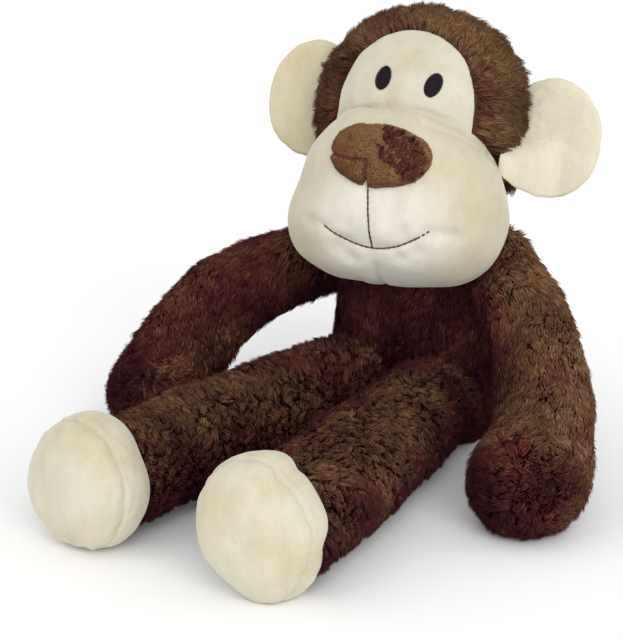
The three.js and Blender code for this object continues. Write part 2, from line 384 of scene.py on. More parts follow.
def bumped(material, principled, heights, depth):
    """Bump from several (value socket, strength) pairs, one on another."""
    normal = None
    for value, strength in heights:
        bump = node(material, "ShaderNodeBump", strength=strength, distance=depth * MM)
        link(material, value, bump.inputs["Height"])
        if normal is not None:
            link(material, normal, bump.inputs["Normal"])
        normal = bump.outputs["Normal"]
    link(material, normal, principled.inputs["Normal"])


def srgb(red, green, blue):
    """A display colour from 0 to 255 as the linear values that a shader takes."""
    shares = (c / 255 for c in (red, green, blue))
    return tuple((c / 12.92) if c <= 10 / 255 else ((c + 0.055) / 1.055) ** 2.4 for c in shares)


def away_from(material, place, reach):
    """A value of 0 within reach of a place, in millimetres, rising to 1 further away."""
    here = node(material, "ShaderNodeTexCoord")
    away = node(material, "ShaderNodeVectorMath", operation="DISTANCE")
    away.inputs[1].default_value = place * MM
    share = node(material, "ShaderNodeMapRange", interpolation_type="SMOOTHSTEP")
    share.inputs["From Min"].default_value = reach * MM
    share.inputs["From Max"].default_value = 2.2 * reach * MM
    link(material, here.outputs["Object"], away.inputs[0])
    link(material, away.outputs["Value"], share.inputs["Value"])
    return share.outputs["Result"]


def plush_material(name, plain, deep, pale, painted_light_patch=None):
    """Short-pile plush: soft patches of tone, brushed streaks, and the grain of the pile.

    The last argument is a (place, reach, shade): the cloth is painted that paler shade round a place, as
    painted light where the light falls most."""
    plain, deep, pale = srgb(*plain), srgb(*deep), srgb(*pale)
    material, principled = new_material(
        name, plain, 0.92, sheen_weight=0.35, sheen_roughness=0.45, specular_ior_level=0.15,
    )
    patches = noise_of(material, 42, 3)
    streaks = noise_of(material, 7, 5, (1, 1, 0.35))
    grain = noise_of(material, 0.9, 2)
    broad = ramp_of(material, patches.outputs["Fac"], [(0.3, deep), (0.48, plain), (0.72, pale)])
    # painted light: a paler shade round a place that the light falls on most
    if painted_light_patch:
        place, reach, shade = painted_light_patch
        broad = mixed(material, away_from(material, place, reach), (*srgb(*shade), 1), broad)
    brushed = ramp_of(material, streaks.outputs["Fac"], [(0.3, (0.93, 0.93, 0.9)), (0.62, (1, 1, 1))])
    speckled = ramp_of(material, grain.outputs["Fac"], [(0.3, (0.93, 0.92, 0.9)), (0.6, (1, 1, 1))])
    colour = mixed(material, 1.0, mixed(material, 1.0, broad, brushed, "MULTIPLY"), speckled, "MULTIPLY")
    link(material, colour, principled.inputs["Base Color"])
    bumped(material, principled, [(streaks.outputs["Fac"], 0.35), (grain.outputs["Fac"], 0.5)], 0.5)
    return material


def cloth_material(name, dark, light, noise, spread, bump, depth, roughness, **shader):
    """Two shades through one noise, which also makes the bump."""
    dark, light = srgb(*dark), srgb(*light)
    material, principled = new_material(name, dark, roughness, **shader)
    value = noise_of(material, *noise).outputs["Fac"]
    colour = ramp_of(material, value, list(zip(spread, (dark, light))))
    link(material, colour, principled.inputs["Base Color"])
    bumped(material, principled, [(value, bump)], depth)
    return material


def backing_material(name, dark, light):
    """The cloth under the fur, which shows only as the shade between locks."""
    return cloth_material(
        name, dark, light, (3, 3), (0.35, 0.65), 0.6, 1.0, 1.0, sheen_weight=0.1, specular_ior_level=0.05,
    )


def thread_material(name, dark, light, roughness):
    """Embroidery thread: fine fibres across it and a soft shine."""
    return cloth_material(
        name, dark, light, (0.5, 3, (1, 1, 0.3)), (0.35, 0.7), 0.5, 0.3, roughness, specular_ior_level=0.15,
    )


def pile_materials(name, shades):
    """One plain material for each shade, from dark to pale, in reds and then in browns. A strand's root takes
    a darker one than its tip, as painted shade deep in the pile and a painted highlight at the tip.
    """
    return [
        new_material(f"{name}_{i}", srgb(*shade), 0.85, specular_ior_level=0.06)[0]
        for i, shade in enumerate(shades)
    ]


BODY_SHADES = pile_materials("body_pile", (
    (46, 16, 28), (64, 26, 34), (86, 40, 40), (108, 60, 50), (130, 80, 64),
    (48, 24, 28), (68, 42, 36), (94, 62, 46), (120, 86, 60), (146, 112, 80),
))
HEAD_SHADES = pile_materials("head_pile", (
    (62, 36, 28), (80, 48, 36), (98, 62, 46), (116, 76, 56), (134, 92, 68),
    (64, 42, 28), (84, 58, 38), (104, 74, 50), (124, 92, 62), (144, 110, 76),
))
NOSE_SHADES = pile_materials("nose_pile", (
    (98, 60, 41), (109, 69, 46), (119, 79, 52), (130, 90, 60), (142, 102, 69),
    (100, 69, 44), (111, 79, 50), (121, 89, 57), (132, 99, 65), (144, 111, 74),
))
LEVELS = 5  # of shade in each half of a set
LEFT_EAR_MIDDLE = from_head(np.array([88.0, 0.0, -10.0]))
MUZZLE_MIDDLE = from_head(np.array([6.0, -92.0, -58.0]))
CREAM = plush_material("cream_plush", (198, 192, 170), (190, 181, 152), (202, 198, 181))
# A slightly darker copy of the cream, as painted shade on the face, which is set back under the hood.
FACE_CREAM = plush_material("face_plush", (194, 188, 168), (185, 176, 148), (198, 194, 178))
# A darker, yellower copy of the cream, as painted shade on the right ear, which is turned from the light; the
# paler cream round the left ear is painted light.
EAR_CREAM = plush_material(
    "ear_plush", (198, 187, 157), (189, 176, 138), (202, 194, 169), (LEFT_EAR_MIDDLE, 60.0, (207, 200, 178)),
)
# A darker, yellower copy of the cream, as painted shade on the muzzle's sides, with a paler shade round its
# middle as a painted highlight.
MUZZLE_CREAM = plush_material(
    "muzzle_plush", (192, 184, 160), (186, 177, 149), (196, 189, 167), (MUZZLE_MIDDLE, 26.0, (212, 208, 197)),
)
NOSE_CLOTH = backing_material("nose_cloth", (76, 46, 31), (96, 60, 41))
BODY_CLOTH = backing_material("body_backing", (60, 28, 28), (78, 42, 36))
HEAD_CLOTH = backing_material("head_backing", (62, 38, 28), (80, 52, 38))
EYE_THREAD = thread_material("eye_thread", (16, 8, 18), (34, 22, 34), 0.55)
MOUTH_THREAD = thread_material("mouth_thread", (70, 48, 34), (112, 84, 58), 0.6)


# ---- pile: each strand is a bent, closed, three-sided spike ----
def scatter(skin, density, draw, comb, length):
    """Random places on a skin, with the normal, the combed way and the pile's length there."""
    tri = skin.triangles(skin.grown)
    a, b, c = skin.corners(tri)
    weight = sizes(np.cross(b - a, c - a)) / 2
    weight = weight * np.maximum(length[tri].min(1), 0).clip(0, 1)
    count = int(weight.sum() * density)
    pick = draw.choice(len(tri), count, p=weight / weight.sum())
    root, other = np.sqrt(draw.random(count)), draw.random(count)
    share = np.stack([1 - root, root * (1 - other), root * other], -1)

    def across(values):
        return np.einsum("ij,ijk->ik", share, values[tri[pick]])

    points, normals = across(skin.verts), unit(across(skin.normals))
    way = across(comb)
    way = unit(way - normals * np.einsum("ij,ij->i", way, normals)[:, None])
    return points, normals, way, across(length[:, None])[:, 0]


def strand_lines(points, normals, way, length, ruffled_and_shaded, style, flow, draw):
    """Root, middle and tip of each strand, before it is drawn into its lock."""
    side = np.cross(normals, way)
    swirl = lumps(points, style["swirl_size"], flow) * style["swirl"]
    swirl = swirl + draw.normal(0, style["stray"], len(points))
    way = way * np.cos(swirl)[:, None] + side * np.sin(swirl)[:, None]
    lift = lumps(points, style["swirl_size"] * 0.7, flow + 1) * 0.05
    lay = style["lay"] + lift - RUFFLED_AND_SHADED["upright"] * ruffled_and_shaded + draw.normal(0, 0.06, len(points))
    lay = np.clip(lay, 0.1, 0.95)[:, None]
    first = unit(normals * (1.1 - lay) + way * lay * 0.7)
    second = unit(normals * (0.95 - lay) + way * lay * 1.3)
    size = length[:, None]
    middle = points + first * size * 0.5
    return points, middle, middle + second * size * 0.5


def guides_of(skin, comb, length, style, ruffled_and_shaded_of, draw):
    """Place, normal, combed way, length and stain of the strand in the middle of each lock."""
    places, normals, way, size = scatter(skin, 1 / style["lock"] ** 2, draw, comb, length)
    ruffled_and_shaded = ruffled_and_shaded_of(places)
    size = size * draw.uniform(0.8, 1.25, len(size)) * (1 - RUFFLED_AND_SHADED["shorter"] * ruffled_and_shaded)
    return places, normals, way, size, ruffled_and_shaded


def shades_of(points, normals, ruffled_and_shaded, lock_tone, flow, tone, olive, draw):
    """Which shade a strand's root and its tip have: a level of lightness, in a red or a brown half. Pile that
    faces the light is painted a paler level and a browner half, as painted light, and pile turned away is
    painted darker and redder, as painted shade.
    """
    patch = smooth_noise(points, 46, flow + 2, 2)
    fine = lock_tone + draw.normal(0, 0.4, len(points))
    # painted light: how far each strand's root faces the light sets its lightness and its half
    painted_light = normals @ PAINTED_LIGHT_WAY
    level = 1.6 + tone + 0.45 * patch[:, 0] + fine + 1.1 * painted_light
    hue = patch[:, 1] * 0.7 + olive - 0.3 + 1.3 * painted_light + draw.normal(0, 0.5, len(points))
    level = level - RUFFLED_AND_SHADED["darker"] * ruffled_and_shaded
    half = np.where(hue - RUFFLED_AND_SHADED["redder"] * ruffled_and_shaded > 0, LEVELS, 0)
    # the root is half a level darker and the tip half a level paler: painted shade in the pile, painted
    # highlight at the tips
    return [np.clip(np.round(level + step), 0, LEVELS - 1).astype(int) + half for step in (-0.5, 0.5)]


def strand_pieces(name, verts, order, low, high, shades):
    """Strands of seven points each as closed spikes, in as few pieces as hold them."""
    pieces = []
    parts = math.ceil(len(verts) / MOST_STRANDS)
    for i, chosen in enumerate(np.array_split(order, parts)):
        start = 7 * np.arange(len(chosen))[:, None, None]
        quads = (np.array([(0, 1, 4, 3), (1, 2, 5, 4), (2, 0, 3, 5)])[None] + start).reshape(-1, 4)
        tris = (np.array([(0, 2, 1), (3, 4, 6), (4, 5, 6), (5, 3, 6)])[None] + start).reshape(-1, 3)
        # the lower half of a strand takes the darker root shade and the upper half the paler tip shade:
        # painted shade and painted highlight
        top, bottom = high[chosen], low[chosen]
        tri_shade = np.stack([bottom, top, top, top], 1).ravel()
        full = name if parts == 1 else f"{name}_{i + 1}"
        pieces.append(mesh_piece(
            full, verts[chosen].reshape(-1, 3), quads, tris, shades, np.repeat(bottom, 3), tri_shade,
        ))
    return pieces


def pile(name, skin, comb, length, style, shades, seed, flow, tone, olive, ruffled_and_shaded_of=None):
    """Pile all over a skin, where length is above zero, gathered into pointed locks.

    Pieces that meet have the same flow, so that their locks and patches of colour run on.
    tone makes it paler, and olive browner rather than redder. The last argument, a function of points, is how
    far the pile is shorter and more upright at a place, and painted darker and redder there as shade."""
    draw = np.random.default_rng(seed)
    ruffled_and_shaded_of = ruffled_and_shaded_of or (lambda places: np.zeros(len(places)))
    share = 1.0
    points, normals, way, size = scatter(skin, style["density"] * share, draw, comb, length)
    ruffled_and_shaded = ruffled_and_shaded_of(points)
    part_size = draw.uniform(0.5, 1.15, len(size))
    size = size * part_size * (1 - RUFFLED_AND_SHADED["shorter"] * ruffled_and_shaded)
    guides = guides_of(skin, comb, length, style, ruffled_and_shaded_of, draw)
    root, middle, tip = strand_lines(points, normals, way, size, ruffled_and_shaded, style, flow, draw)
    lock_root, lock_middle, lock_tip = strand_lines(*guides, style, flow, draw)
    tree = KDTree(len(lock_root))
    for i, place in enumerate(lock_root):
        tree.insert(place, i)
    tree.balance()
    nearest = np.array([tree.find(place)[1] for place in root])
    gather = (style["gather"] * part_size)[:, None] * 1.15
    middle = middle + (lock_middle[nearest] - middle) * gather * 0.3
    tip = tip + (lock_tip[nearest] - tip) * gather
    curl = draw.normal(0, style["curl"], (len(lock_root), 3))[nearest]
    middle = middle + curl + draw.normal(0, style["curl"] * 0.4, root.shape)
    root = root - normals * ROOT_DEPTH
    middle[:, 2] = np.maximum(middle[:, 2], FLOOR + 0.3)
    tip[:, 2] = np.maximum(tip[:, 2], FLOOR)

    lock_tone = draw.normal(0, 0.3, len(lock_root))[nearest]
    low, high = shades_of(points, normals, ruffled_and_shaded, lock_tone, flow, tone, olive, draw)
    width = (style["width"] * draw.uniform(0.75, 1.25, len(root)))[:, None]
    across = unit(np.cross(tip - root, normals) + 1e-6)
    up = unit(np.cross(across, tip - root))
    corners = ((-0.5, 0.0), (0.5, 0.0), (0.0, 0.55))
    lower = [root + width * (across * x + up * y) for x, y in corners]
    upper = [middle + width * 0.8 * (across * x + up * y) for x, y in corners]
    verts = np.stack([*lower, *upper, tip], 1)
    verts[:, :, 2] = np.maximum(verts[:, :, 2], FLOOR)
    return strand_pieces(name, verts, np.argsort(root[:, 1], kind="stable"), low, high, shades)


MOST_STRANDS = 19500  # in one piece
ROOT_DEPTH = 0.6  # how far a strand starts inside its backing
# Ruffled pile is shorter and more upright; its darker, redder tone there is painted shade.
RUFFLED_AND_SHADED = {"shorter": 0.3, "upright": 0.4, "darker": 0.9, "redder": 1.6}
STYLE_NAMES = ("density", "lock", "gather", "lay", "swirl", "swirl_size", "stray", "curl", "width")
SHAGGY = dict(zip(STYLE_NAMES, (1.65, 4.6, 0.4, 0.75, 0.22, 55, 0.22, 0.4, 0.78)))
CURLY = dict(zip(STYLE_NAMES, (1.5, 4.2, 0.54, 0.5, 0.6, 30, 0.36, 0.8, 0.74)))
HOOD = dict(zip(STYLE_NAMES, (1.7, 4.6, 0.58, 0.66, 0.4, 30, 0.3, 0.5, 0.66)))
NOSE_SMOOTH = dict(zip(STYLE_NAMES, (4.6, 3.0, 0.2, 0.84, 0.3, 30, 0.15, 0.1, 0.55)))
NOSE_RUFFLED = dict(zip(STYLE_NAMES, (3.2, 2.6, 0.5, 0.55, 0.5, 30, 0.36, 0.8, 0.5)))
PAINTED_LIGHT_WAY = unit(np.array([0.5, 0.0, 0.85]))  # the way the light comes from: pile facing it is painted paler and browner as light, pile turned away darker and redder as shade


# ---- limbs: tubes along a smooth line ----
def smooth_line(points, steps):
    """Places along a curve through three points, about evenly spaced."""
    a, b, c = points
    slope = (b - a, (c - a) * 0.5, c - b)
    places = []
    for (start, end), (m0, m1) in zip(((a, b), (b, c)), ((slope[0], slope[1]), (slope[1], slope[2]))):
        for t in np.linspace(0, 1, steps, endpoint=False):
            h = (2 * t**3 - 3 * t**2 + 1, t**3 - 2 * t**2 + t, -2 * t**3 + 3 * t**2, t**3 - t**2)
            places.append(h[0] * start + h[1] * m0 + h[2] * end + h[3] * m1)
    return np.array(places + [c])


def limb_rings(line, tangents, radii, around, round_end):
    """Rings round a line, with half a ball before its start and, if wanted, another past its end."""
    turns = np.linspace(0, math.pi / 2, 7)[1:-1]
    centres, ways, sizes = list(line), list(tangents), list(radii)
    for turn in turns:
        if round_end:
            centres.append(line[-1] + tangents[-1] * radii[-1] * math.sin(turn))
            ways.append(tangents[-1])
            sizes.append(radii[-1] * math.cos(turn))
        centres.insert(0, line[0] - tangents[0] * radii[0] * math.sin(turn))
        ways.insert(0, tangents[0])
        sizes.insert(0, radii[0] * math.cos(turn))
    centres, ways, sizes = np.array(centres), np.array(ways), np.array(sizes)
    side = unit(np.cross(ways, [0, 0, 1]))
    rise = np.cross(side, ways)
    angle = circle(around)[None, :, None]
    rings = centres[:, None] + sizes[:, None, None] * (
        np.cos(angle) * side[:, None] + np.sin(angle) * rise[:, None]
    )
    poles = (line[0] - tangents[0] * radii[0], line[-1] + tangents[-1] * (radii[-1] if round_end else 0))
    return rings, ways, poles


def settled(rings):
    """Flattens what would hang below the surface that the toy sits on."""
    z = rings[..., 2]
    rest_at, soft = 2.0, 6.0
    rings[..., 2] = np.where(z < rest_at + soft, rest_at + soft * np.exp((z - rest_at - soft) / soft), z)
    return rings


def inside_torso(points, by):
    """True where a point is deeper than this inside the torso."""
    reach = np.interp(points[:, 2], TORSO_HEIGHTS * TORSO["height"], TORSO_WIDTHS * TORSO["half_width"]) - by
    across = np.hypot(points[:, 0], points[:, 1] / TORSO["flatten"])
    return (across < reach) & (points[:, 2] < TORSO["height"])


# What an arm and a leg are made of: their two lengths, the points along each length, how far before and
# after its root a limb bends, where its lower girth is taken, how full it is, and its pile.
ARM_KIND = {"parts": ("upper_arm", "forearm"), "steps": 16, "bends": (8, 26), "girth_at": 1.5, "plump": 4.0,
            "style": SHAGGY, "pile": 11.5, "seed": 20, "round_end": True}
LEG_KIND = {"parts": ("thigh", "shin"), "steps": 14, "bends": (6, 30), "girth_at": 1.6, "plump": 3.5,
            "style": CURLY, "pile": 7.5, "seed": 40, "round_end": False}


def limb(name, index, kind, root, line, girths, comb_of, ruffled_and_shaded_of, tone, olive):
    """Skin and fur of one limb, in two halves that meet partway along it."""
    steps, round_end = kind["steps"], kind["round_end"]
    seed = kind["seed"] + 4 * index
    bodies = ("torso", *(f"{SIDES[index][0]}_{part}" for part in kind["parts"]))
    tangents = tangents_of(line)
    before, after = kind["bends"]
    bends = ((root - tangents[0] * before, root + tangents[0] * after), (line[steps - 5], line[steps + 5]))
    radii = np.interp(np.linspace(0, 2, len(line)), (0, 1, kind["girth_at"], 2), girths)
    radii = radii - PILE_ROOM + kind["plump"]
    rings, ways, (first, last) = limb_rings(line, tangents, radii, 44, round_end)
    uneven = 0.035 * lumps(rings.reshape(-1, 3), 55, seed).reshape(*rings.shape[:2], 1)
    centre = rings.mean(1, keepdims=True)
    rings = settled(centre + (rings - centre) * (1 + uneven))
    caps = len(rings) - len(line)
    cut = (caps // 2 if round_end else caps) + steps // 2 + 1
    middle = rings[cut].mean(0)
    halves = (
        ("upper", slice(cut + 1), (first, middle), (False, True)),
        ("lower", slice(cut, None), (middle, last), (True, not round_end)),
    )
    for i, (part, kept, ends, bare) in enumerate(halves):
        skin = Skin(rings[kept], *ends, bare)
        way = ways[kept]
        along = np.vstack([way[:1], np.repeat(way, rings.shape[1], axis=0), way[-1:]])
        reach = np.where(inside_torso(skin.verts, 3), 0, kind["pile"])
        cover = skin_piece(f"{name}_{part}_backing", skin, BODY_CLOTH)
        fur = pile(f"{name}_{part}_fur", skin, comb_of(skin, along), reach, kind["style"], BODY_SHADES,
                   seed + i, seed, tone, olive, ruffled_and_shaded_of)
        for piece in (cover, *fur):
            blended(piece, bodies[i], bodies[i + 1], *bends[i])
        declared(cover, (f"{bodies[i + 1]}_sleeve", f"{bodies[i + 1]}_filling"))
        for piece in fur:
            declared(piece)


# How each arm lies: shifts of the elbow and the hand, the forearm's bow outwards, room at the elbow, the
# wrist and the hand, the comb round and along it, how far its pile is ruffled and painted with shade at its
# hand and shoulder, and its tone and olive.
ARM_LOOKS = {
    "left": {"elbow": (-1.5, 0, 0), "hand": (1.5, 0, 1.0), "bow": 5.5, "room": (1, 2.5, 3.5),
             "comb": (0.15, 1.0), "ruffled_and_shaded": (1, 0.1), "tones": (0.02, 0.1)},
    # The right arm, turned from the light, has darker, redder tones: painted shade.
    "right": {"elbow": (2.5, 0, -6.0), "hand": (4.0, 2.5, 0), "bow": 0.0, "room": (3, 3.5, 0),
              "comb": (0.5, 0.6), "ruffled_and_shaded": (0.2, 0.5), "tones": (-0.38, -0.8)},
}
HAND_TIP = unit(np.array([0.35, -0.87, 0.3]))  # the way from the middle of a hand to its whorl


def arms():
    for index, (name, side) in enumerate(SIDES):
        look = ARM_LOOKS[name]
        shoulder, elbow = place_of(f"{name}_shoulder_raise"), place_of(f"{name}_elbow_bend") + look["elbow"]
        low, high = box_of(f"{name}_forearm_sleeve")
        outer = high[0] - ARM["hand"] if side > 0 else low[0] + ARM["hand"]
        hand = np.array([outer, low[1] + ARM["hand"], ARM["hand"]]) + look["hand"]
        tip = hand + HAND_TIP * ARM["hand"]
        steps = ARM_KIND["steps"]
        line = smooth_line((shoulder, elbow, hand), steps)
        past_elbow = np.linspace(0, 1, len(line) - steps)
        line[steps:, 0] += side * look["bow"] * np.sin(math.pi * past_elbow**1.6)
        girths = np.array([-0.5, *look["room"]]) + [ARM["shoulder"], ARM["elbow"], ARM["elbow"], ARM["hand"]]

        def comb_of(skin, along):
            from_tip = skin.verts - tip
            near = 1 - eased(sizes(from_tip), 26, 46)[:, None]
            round_it, down_it = look["comb"]
            down = along * down_it + np.cross(skin.normals, along) * -side * round_it
            messy = smooth_noise(skin.verts, 8, 29 + index, 3)
            return down * (1 - near) + (unit(from_tip) * 0.15 + messy) * near

        # The pile round the hand's whorl and at the shoulder is shorter and more upright, and painted darker
        # and redder as shade.
        def ruffled_and_shaded_of(points):
            at_tip = 1 - eased(sizes(points - tip), 14, 34)
            at_shoulder = 1 - eased(sizes(points - shoulder), 25, 60)
            return np.maximum(at_tip * look["ruffled_and_shaded"][0], at_shoulder * look["ruffled_and_shaded"][1])

        limb(f"{name}_arm", index, ARM_KIND, shoulder, line, girths, comb_of, ruffled_and_shaded_of, *look["tones"])


def foot_centre(name):
    hip, knee = place_of(f"{name}_hip_lift"), place_of(f"{name}_knee_swing")
    centre = hip + (knee - hip) / LEG["knee_at"]
    centre[2] = FOOT["radii"][2]
    return centre, unit((knee - hip) * [1, 1, 0])


def legs():
    for index, (name, side) in enumerate(SIDES):
        hip, knee = place_of(f"{name}_hip_lift"), place_of(f"{name}_knee_swing")
        foot, heading = foot_centre(name)
        ankle = foot - heading * (FOOT["trim"] * FOOT["radii"][1] - 6)
        ankle[2] = 30.0
        rise, shin_room = (5.0, 5) if side > 0 else (12.0, 2.5)
        lift = np.array([0, 0, rise])
        line = smooth_line((hip + lift, knee + lift, ankle + lift * 0.4), LEG_KIND["steps"])
        girths = (LEG["hip"] + 3, LEG["knee"] + 4, LEG["knee"] + shin_room, LEG["ankle"])

        def comb_of(skin, along):
            messy = smooth_noise(skin.verts, 22, 49 + index, 3)
            return np.cross(skin.normals, along) * side * 0.5 + along * 0.5 + messy * 0.3

        # Near the hip the pile is shorter and more upright, and painted darker and redder as shade where the
        # leg meets the torso.
        def ruffled_and_shaded_of(points):
            return 0.6 - 0.6 * eased(sizes(points - hip), 30, 95)

        limb(f"{name}_leg", index, LEG_KIND, hip, line, girths, comb_of, ruffled_and_shaded_of, -0.8, -0.4)


# ---- torso and neck ----
def torso():
    count, around = 40, 72
    levels = np.linspace(0, 1, count)
    reach = np.interp(levels, TORSO_HEIGHTS, TORSO_WIDTHS)
    reach = np.convolve(np.pad(reach, 3, mode="edge"), np.ones(7) / 7, "valid") * TORSO["half_width"]
    angle = circle(around)
    out = (reach - PILE_ROOM + TORSO["plump"])[:, None]
    rings = np.stack([
        out * np.cos(angle), out * np.sin(angle) * TORSO["flatten"],
        np.repeat((2 + levels * (TORSO["height"] - 3))[:, None], around, 1),
    ], -1)
    skin = Skin(rings, np.array([0, 0, 2.0]), np.array([0, 0, TORSO["height"]]), (True, False))
    skin.moved(1.2 * lumps(skin.verts, 50, 3))
    x, _, height = skin.verts.T
    # the right side bulges from the waist up, and the left side low down
    x -= 6.5 * eased(-x, 10, 45) * eased(height, 20, 60)
    x += 7.0 * eased(x, 10, 45) * eased(-height, -85, -55)
    np.maximum(height, 1.5, out=height)
    cover = skin_piece("torso_backing", skin, BODY_CLOTH)
    declared(cover, ("torso_front_panel", "torso_back_panel", "torso_filling"), "torso")
    comb = np.array([0, 0, -0.8]) + unit(skin.verts * [1, 1, 0]) * 0.2
    comb = comb + np.cross(skin.normals, [0, 0, 1]) * 0.5 * np.sign(skin.verts[:, :1])
    hidden = np.zeros(len(skin.verts), bool)
    for name, _ in SIDES:
        for joint, radius in (("hip_lift", LEG["hip"]), ("shoulder_raise", ARM["shoulder"])):
            hidden |= sizes(skin.verts - place_of(f"{name}_{joint}")) < radius - 6
    for part, seed, kept in (("front", 11, skin.verts[:, 1] < 0), ("back", 12, skin.verts[:, 1] >= 0)):
        length = np.where(hidden | ~kept, 0, 12.0)
        for fur in pile(f"torso_{part}_fur", skin, comb, length, SHAGGY, BODY_SHADES, seed, 11, -0.8, -1.6):
            declared(fur, body="torso")


def neck():
    low = np.array([NECK[0], NECK[1], TORSO["height"] - 10])
    line = smooth_line((low, (low + NECK) / 2, NECK), 6)
    ways = tangents_of(line) + [0, 1e-3, 0]  # a quite upright line would have no side
    rings, _, (first, last) = limb_rings(line, ways, np.full(len(line), 21.0), 32, True)
    skin = Skin(rings, first, last)
    cover = skin_piece("neck_backing", skin, BODY_CLOTH)
    comb = np.tile([0, 0, -1.0], (len(skin.verts), 1))
    length = np.where(skin.verts[:, 2] < NECK[2] + 4, 7.0, 0)
    fur = pile("neck_fur", skin, comb, length, SHAGGY, BODY_SHADES, 15, 11, -0.8, -1.0)
    for piece in (cover, *fur):
        blended(piece, "torso", "neck", low, NECK - [0, 0, 2])
    declared(cover, ("neck_stub",))
    for piece in fur:
        declared(piece)


# ---- head ----
def egg_rings(radii, centre, count, around, shares=None, square=2.0):
    """Rings of an egg with its poles up and down, from the lower pole.

    shares(up) gives its half-width and depth at a height; square above 2 flattens its front."""
    rise = np.linspace(-math.pi / 2, math.pi / 2, count + 2)[1:-1][:, None]
    turn = circle(around)[None]
    up = np.sin(rise) + 0 * turn
    width, depth = shares(up) if shares else (np.cos(rise), np.cos(rise))
    c, s = np.cos(turn), np.sin(turn)
    x = width * np.sign(c) * np.abs(c) ** (2 / square)
    y = depth * np.sign(s) * np.abs(s) ** (2 / square)
    rings = np.stack([x, y, up], -1) * radii + centre
    return rings, centre - [0, 0, radii[2]], centre + [0, 0, radii[2]]


def skull_front(x, z, by):
    rx, ry, rz = SKULL + by
    return -ry * np.sqrt(np.maximum(0, 1 - (x / rx) ** 2 - (z / rz) ** 2))


def muzzle_shares(up):
    """Half-width and depth of the muzzle at a height from -1 to 1, with square shoulders at its top."""
    high = np.abs(np.clip(up, -1, 1))
    power = np.where(up > 0, MUZZLE["shoulder"], MUZZLE["jowl"])
    width = (1 - high**power) ** (1 / power) * (1 - MUZZLE["pear"] * up)
    return width, (1 - high**2.2) ** (1 / 2.2)


def muzzle_front(x, z):
    """Depth of the muzzle's surface at a place seen from the front."""
    rx, ry, rz = MUZZLE["radii"]
    width, depth = muzzle_shares((z - MUZZLE["centre"][2]) / rz)
    across = np.minimum(np.abs(x - MUZZLE["centre"][0]) / np.maximum(rx * width, 1e-6), 1)
    square = MUZZLE["square"]
    return MUZZLE["centre"][1] - ry * depth * (1 - across**square) ** (1 / square)


def in_face(x, z, by):
    """True inside the face's arch, which is open at the bottom, where the muzzle covers it."""
    half, top = FACE["half_width"] + by, FACE["top"] + by
    share = np.clip(1 - (np.maximum(z, 0) / top) ** (2 / 0.75), 0, 1)
    return (np.abs(x) < half * np.sqrt(share)) & (z < top)


def in_muzzle(points, by):
    """True inside the muzzle's egg, grown by a little or drawn in."""
    local = (points - MUZZLE["centre"]) / (MUZZLE["radii"] + by)
    width, depth = muzzle_shares(local[:, 2])
    across, ahead = local[:, 0] / np.maximum(width, 1e-6), local[:, 1] / np.maximum(depth, 1e-6)
    square = MUZZLE["square"]
    return (np.abs(across) ** square + np.abs(ahead) ** square < 1) & (np.abs(local[:, 2]) < 1)


NECK_ROOM = 24.0  # how far the hood keeps from the neck's joint


def placed(skin):
    """Takes a skin from the head's own space to its place."""
    skin.verts = from_head(skin.verts)
    skin.find_normals()
    return skin


def hood():
    rings, first, last = egg_rings(SKULL + 2.0, np.zeros(3), 56, 96)
    skin = Skin(rings, first, last)
    room = np.linalg.inv(HEAD_ROTATION) @ (NECK - HEAD_CENTRE)
    away = skin.verts - room
    far = np.linalg.norm(away, axis=1, keepdims=True)
    skin.verts = np.where(far < NECK_ROOM, room + away / far * NECK_ROOM, skin.verts)
    # the left cheek is fuller, low down and a little at its top
    x, _, z = skin.verts.T
    low_cheek = eased(-z, 12, 34) * eased(x, 10, 45)
    high_side = eased(z, 10, 30) * eased(x, 15, 40)
    x += 8.0 * low_cheek + 2.0 * high_side
    skin.find_normals()
    local = skin.verts.copy()
    x, y, z = local.T
    front = (y < 0) & (in_face(x, z, -1.2) | in_muzzle(local, -1.5))
    comb = unit(local - [0, -30, 12]) @ HEAD_ROTATION.T
    bottom = sizes(local - room) < NECK_ROOM + 3
    edge = np.where(y < 0, eased(np.hypot(x / FACE["half_width"], z / FACE["top"]), 1.0, 1.25), 1)
    under_ear = (x > 40) & (y < 6) & (z < -19) & (z > -46)
    # short by the face, longer away from it, and longest under the head
    reach = np.where(front | bottom | under_ear, 0, 8.4 + 5.0 * edge + 4.0 * eased(-z, 15, 35))
    placed(skin)
    cover = skin_piece("head_hood_backing", skin, HEAD_CLOTH)
    declared(cover, ("head_left_panel", "head_right_panel", "head_filling"), "head")
    for name, side in SIDES:
        kept = np.where(x * side >= 0, reach, 0)
        for fur in pile(f"head_{name}_fur", skin, comb, kept, HOOD, HEAD_SHADES, 60 + side, 60, 0.1, -0.1):
            declared(fur, body="head")


def patch_rings(outline, front, back, rise, count, around, middle, power=2.4):
    """Rings of a pad over an outline, from its front middle to its edge and back to its rear middle.

    outline(angle) is the edge's distance from middle; front and back are depths by x and z."""
    angle = circle(around)
    edge = outline(angle)
    shares = dome_shares(count)

    def ring(share, depth, crown):
        x = middle[0] + np.cos(angle) * edge * share
        z = middle[1] + np.sin(angle) * edge * share
        return np.stack([x, depth(x, z) - crown, z], -1)

    rings = [ring(share, front, rise * (1 - share**power) ** (1 / power)) for share in shares]
    rings += [ring(share, back, 0) for share in shares[-2::-1]]
    x, z = middle
    return np.array(rings), np.array([x, front(x, z) - rise, z]), np.array([x, back(x, z), z])


